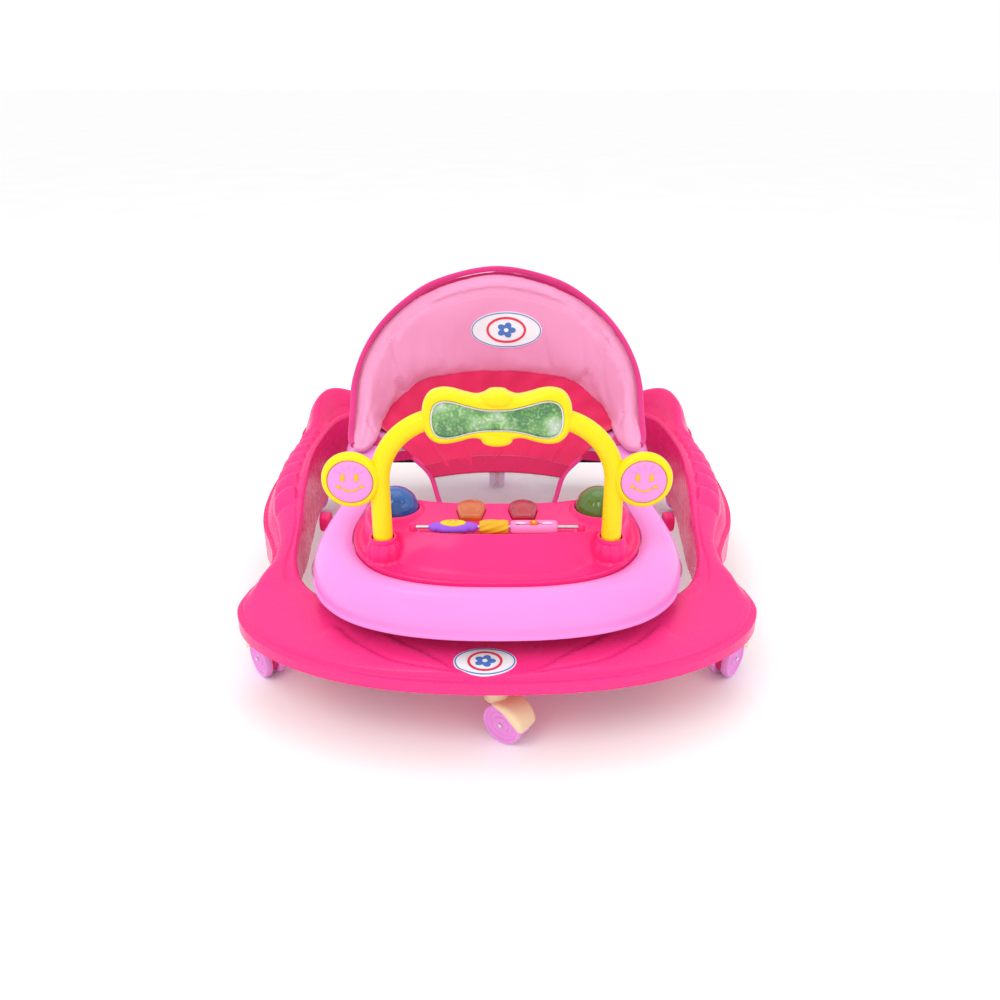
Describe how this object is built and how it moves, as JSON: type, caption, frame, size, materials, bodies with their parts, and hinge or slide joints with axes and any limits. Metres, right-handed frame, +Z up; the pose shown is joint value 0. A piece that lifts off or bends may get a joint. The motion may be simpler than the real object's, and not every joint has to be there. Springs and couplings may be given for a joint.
{
  "type": "baby walker",
  "caption": "Folding baby walker: plastic base on swivel casters, cross tubes that raise a round tray with a toy bar, and a fabric sling seat.",
  "frame": {"origin": "on the floor under the middle of the whole walker, folded down", "axes": "+Z up, front of the walker towards -Y, +X towards the seated child's left hand"},
  "size_m": [0.687, 0.7445, 0.4161],
  "materials": {
    "base_pink": "glossy moulded plastic",
    "tray_pink": "glossy moulded plastic",
    "caster_pink": "glossy moulded plastic",
    "ring_lilac": "glossy moulded plastic",
    "wheel_lilac": "glossy moulded plastic",
    "face_lilac": "glossy moulded plastic",
    "bar_yellow": "glossy moulded plastic",
    "caster_cream": "satin moulded plastic",
    "housing_white": "matte moulded plastic",
    "board_green": "solder mask",
    "speaker_black": "matte",
    "pad_rubber": "matte rubber",
    "screw_steel": "zinc-plated",
    "tube_steel": "silver powder coat",
    "dome_blue": "translucent",
    "dome_green": "translucent",
    "button_orange": "translucent",
    "button_red": "translucent",
    "toy_purple": "glossy",
    "toy_gold": "glossy",
    "toy_pink": "glossy",
    "picture": "printed film under clear gloss",
    "badge": "printed film",
    "seat_light_fabric": "smooth coated polyester",
    "seat_piping_fabric": "woven polyester",
    "seat_fabric": "woven polyester",
    "seat_mesh_fabric": "open mesh"
  },
  "bodies": {
    "base": {"base_shell": "base_pink", "base_badge": "badge", "base_bosses": "base_pink", "stopper_pads": "pad_rubber", "base_pivot_brackets": "base_pink", "base_slide_tracks": "base_pink", "base_screws": "screw_steel"},
    "caster_front": {"caster_hood_front": "caster_cream", "caster_core_front": "caster_pink"},
    "wheels_front": {"caster_wheels_front": "wheel_lilac"},
    "caster_front_left": {"caster_hood_front_left": "caster_cream", "caster_core_front_left": "caster_pink"},
    "wheels_front_left": {"caster_wheels_front_left": "wheel_lilac"},
    "caster_front_right": {"caster_hood_front_right": "caster_cream", "caster_core_front_right": "caster_pink"},
    "wheels_front_right": {"caster_wheels_front_right": "wheel_lilac"},
    "caster_rear_left": {"caster_hood_rear_left": "caster_cream", "caster_core_rear_left": "caster_pink"},
    "wheels_rear_left": {"caster_wheels_rear_left": "wheel_lilac"},
    "caster_rear_right": {"caster_hood_rear_right": "caster_cream", "caster_core_rear_right": "caster_pink"},
    "wheels_rear_right": {"caster_wheels_rear_right": "wheel_lilac"},
    "caster_rear": {"caster_hood_rear": "caster_cream", "caster_core_rear": "caster_pink"},
    "wheels_rear": {"caster_wheels_rear": "wheel_lilac"},
    "outer_frame": {"outer_cross_tube": "tube_steel", "cross_pivot_bolts": "screw_steel", "cross_pivot_caps": "base_pink"},
    "inner_frame": {"inner_cross_tube": "tube_steel"},
    "latch": {"height_latch": "bar_yellow"},
    "melody_button_orange": {"button_orange": "button_orange"},
    "melody_button_red": {"button_red": "button_red"},
    "toy_purple": {"spinner_purple": "toy_purple"},
    "toy_bead": {"spinner_bead": "toy_gold"},
    "toy_pink": {"spinner_pink": "toy_pink"},
    "tray": {"tray_ring": "ring_lilac", "tray_slide_guides": "ring_lilac", "tray_pivot_saddles": "ring_lilac", "height_rack": "housing_white", "play_tray": "tray_pink", "electronics_housing": "housing_white", "battery_cover": "housing_white", "circuit_board": "board_green", "speaker": "speaker_black", "dome_blue": "dome_blue", "dome_green": "dome_green", "button_springs": "screw_steel", "toy_rod": "screw_steel", "toy_bar": "bar_yellow", "bow_frame": "bar_yellow", "picture_panel": "picture", "side_discs": "bar_yellow", "face_discs": "face_lilac", "seat_back_panel": "seat_light_fabric", "seat_piping": "seat_piping_fabric", "seat_sling": "seat_fabric", "seat_mesh": "seat_mesh_fabric", "seat_crotch": "seat_fabric", "seat_patch": "badge", "tray_screws": "screw_steel"}
  },
  "joints": [
    {"name": "lift", "type": "hinge", "parent": "base", "child": "outer_frame", "pos_m": [0, 0.2415, 0.07], "axis": [-1, 0, 0], "range_deg": [0, 22]},
    {"name": "cross_pivot", "type": "hinge", "parent": "outer_frame", "child": "inner_frame", "pos_m": [0, 0.00679, 0.09467], "axis": [1, 0, 0], "range_deg": [0, 44]},
    {"name": "tray_pivot", "type": "hinge", "parent": "inner_frame", "child": "tray", "pos_m": [0, 0.2415, 0.11934], "axis": [-1, 0, 0], "range_deg": [0, 22]},
    {"name": "swivel_front", "type": "hinge", "parent": "base", "child": "caster_front", "pos_m": [0, -0.3285, 0.08], "axis": [0, 0, 1], "continuous": true},
    {"name": "roll_front", "type": "hinge", "parent": "caster_front", "child": "wheels_front", "pos_m": [0.01147, -0.33653, 0.025], "axis": [0.5736, 0.8192, 0], "continuous": true},
    {"name": "swivel_front_left", "type": "hinge", "parent": "base", "child": "caster_front_left", "pos_m": [0.276, -0.2255, 0.08], "axis": [0, 0, 1], "continuous": true},
    {"name": "roll_front_left", "type": "hinge", "parent": "caster_front_left", "child": "wheels_front_left", "pos_m": [0.28462, -0.21447, 0.025], "axis": [-0.788, 0.6157, 0], "continuous": true},
    {"name": "swivel_front_right", "type": "hinge", "parent": "base", "child": "caster_front_right", "pos_m": [-0.276, -0.2255, 0.08], "axis": [0, 0, 1], "continuous": true},
    {"name": "roll_front_right", "type": "hinge", "parent": "caster_front_right", "child": "wheels_front_right", "pos_m": [-0.28462, -0.21447, 0.025], "axis": [-0.788, -0.6157, 0], "continuous": true},
    {"name": "swivel_rear_left", "type": "hinge", "parent": "base", "child": "caster_rear_left", "pos_m": [0.3, 0.2305, 0.08], "axis": [0, 0, 1], "continuous": true},
    {"name": "roll_rear_left", "type": "hinge", "parent": "caster_rear_left", "child": "wheels_rear_left", "pos_m": [0.31316, 0.23529, 0.025], "axis": [-0.342, 0.9397, 0], "continuous": true},
    {"name": "swivel_rear_right", "type": "hinge", "parent": "base", "child": "caster_rear_right", "pos_m": [-0.3, 0.2305, 0.08], "axis": [0, 0, 1], "continuous": true},
    {"name": "roll_rear_right", "type": "hinge", "parent": "caster_rear_right", "child": "wheels_rear_right", "pos_m": [-0.31316, 0.23529, 0.025], "axis": [-0.342, -0.9397, 0], "continuous": true},
    {"name": "swivel_rear", "type": "hinge", "parent": "base", "child": "caster_rear", "pos_m": [0, 0.3325, 0.08], "axis": [0, 0, 1], "continuous": true},
    {"name": "roll_rear", "type": "hinge", "parent": "caster_rear", "child": "wheels_rear", "pos_m": [0, 0.3465, 0.025], "axis": [-1, 0, 0], "continuous": true},
    {"name": "press_orange", "type": "slide", "parent": "tray", "child": "melody_button_orange", "axis": [0, 0, -1], "range_m": [0, 0.003], "stiffness_N_per_m": 350, "springref_m": -0.001, "deforming": ["button_springs"]},
    {"name": "press_red", "type": "slide", "parent": "tray", "child": "melody_button_red", "axis": [0, 0, -1], "range_m": [0, 0.003], "stiffness_N_per_m": 350, "springref_m": -0.001, "deforming": ["button_springs"]},
    {"name": "spin_purple", "type": "hinge", "parent": "tray", "child": "toy_purple", "pos_m": [0, -0.2285, 0.211], "axis": [1, 0, 0], "continuous": true},
    {"name": "spin_bead", "type": "hinge", "parent": "tray", "child": "toy_bead", "pos_m": [0, -0.2285, 0.211], "axis": [1, 0, 0], "continuous": true},
    {"name": "spin_pink", "type": "hinge", "parent": "tray", "child": "toy_pink", "pos_m": [0, -0.2285, 0.211], "axis": [1, 0, 0], "continuous": true},
    {"name": "latch_squeeze", "type": "hinge", "parent": "tray", "child": "latch", "pos_m": [0, -0.2755, 0.15], "axis": [1, 0, 0], "range_deg": [0, 18], "stiffness_Nm_per_rad": 0.4, "springref_deg": -11.46}
  ],
  "couplings": [
    {"joint": "cross_pivot", "follows": "lift", "ratio": 2},
    {"joint": "tray_pivot", "follows": "lift", "ratio": 1}
  ]
}
